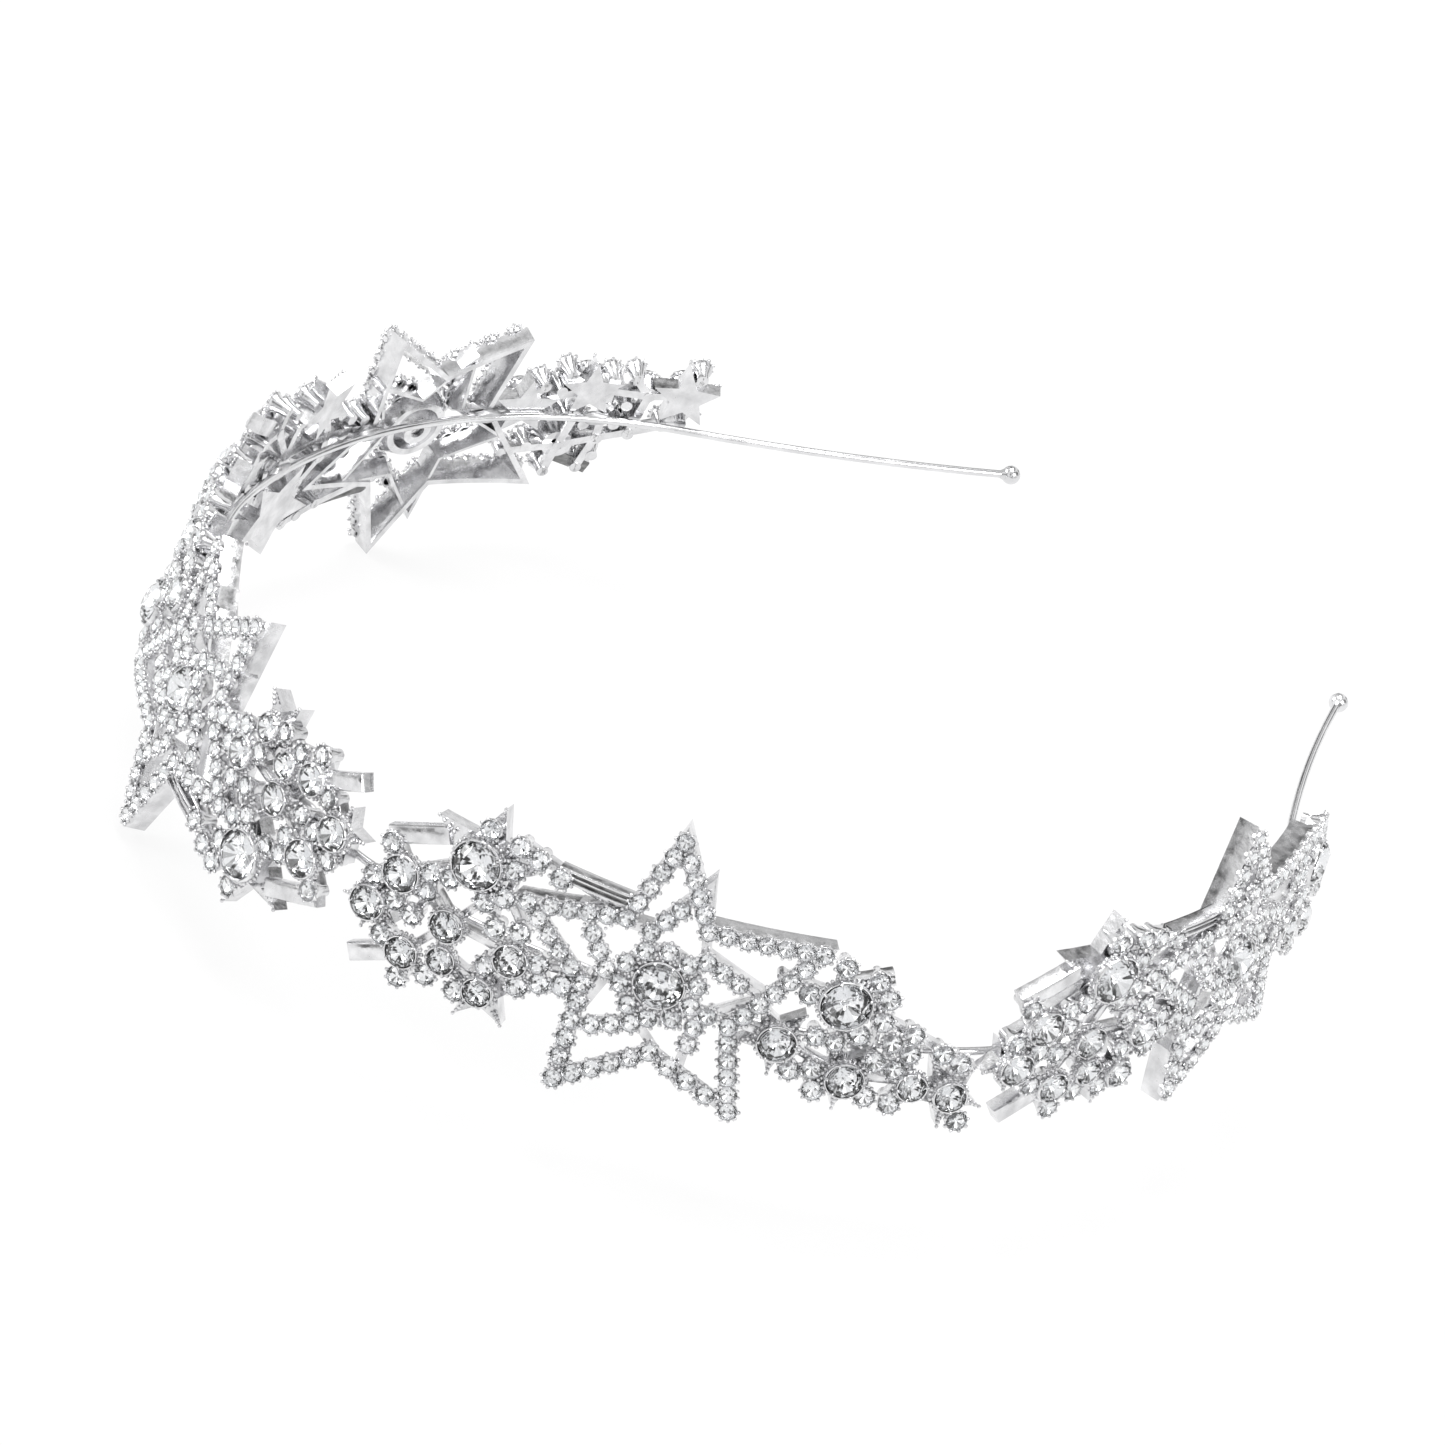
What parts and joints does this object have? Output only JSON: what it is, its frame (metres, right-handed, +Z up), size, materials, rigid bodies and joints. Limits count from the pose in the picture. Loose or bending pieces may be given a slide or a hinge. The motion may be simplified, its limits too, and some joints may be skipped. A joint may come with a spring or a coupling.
{
  "type": "bridal tiara",
  "caption": "Sprung wire headband with cast star plaques set with clear stones, worn over the crown of the head.",
  "frame": {"origin": "centre of the bounding box at the lowest point of the star tips", "axes": "+Z up across the plaques with the band wire level, +Y from the front of the band to its open ends, +X to the right arm seen from the front"},
  "size_m": [0.1408, 0.1512, 0.0469],
  "materials": {
    "plate": "bright rhodium-coloured plating over zinc casting and steel wire",
    "crystal": "clear cut glass with foiled back",
    "solder": "soft solder under the plating, satin"
  },
  "bodies": {
    "tiara": {"band_wire": "plate", "ball_tip_right": "plate", "ball_tip_left": "plate", "right_inner_casting": "plate", "right_inner_centre_stone": "crystal", "right_inner_large_chatons": "crystal", "right_inner_medium_chatons": "crystal", "right_inner_pave_stones": "crystal", "right_inner_solder_joints": "solder", "right_outer_casting": "plate", "right_outer_centre_stone": "crystal", "right_outer_large_chatons": "crystal", "right_outer_medium_chatons": "crystal", "right_outer_pave_stones": "crystal", "right_outer_solder_joints": "solder", "left_inner_casting": "plate", "left_inner_centre_stone": "crystal", "left_inner_large_chatons": "crystal", "left_inner_medium_chatons": "crystal", "left_inner_pave_stones": "crystal", "left_inner_solder_joints": "solder", "left_outer_casting": "plate", "left_outer_centre_stone": "crystal", "left_outer_large_chatons": "crystal", "left_outer_medium_chatons": "crystal", "left_outer_pave_stones": "crystal", "left_outer_solder_joints": "solder"}
  },
  "joints": []
}
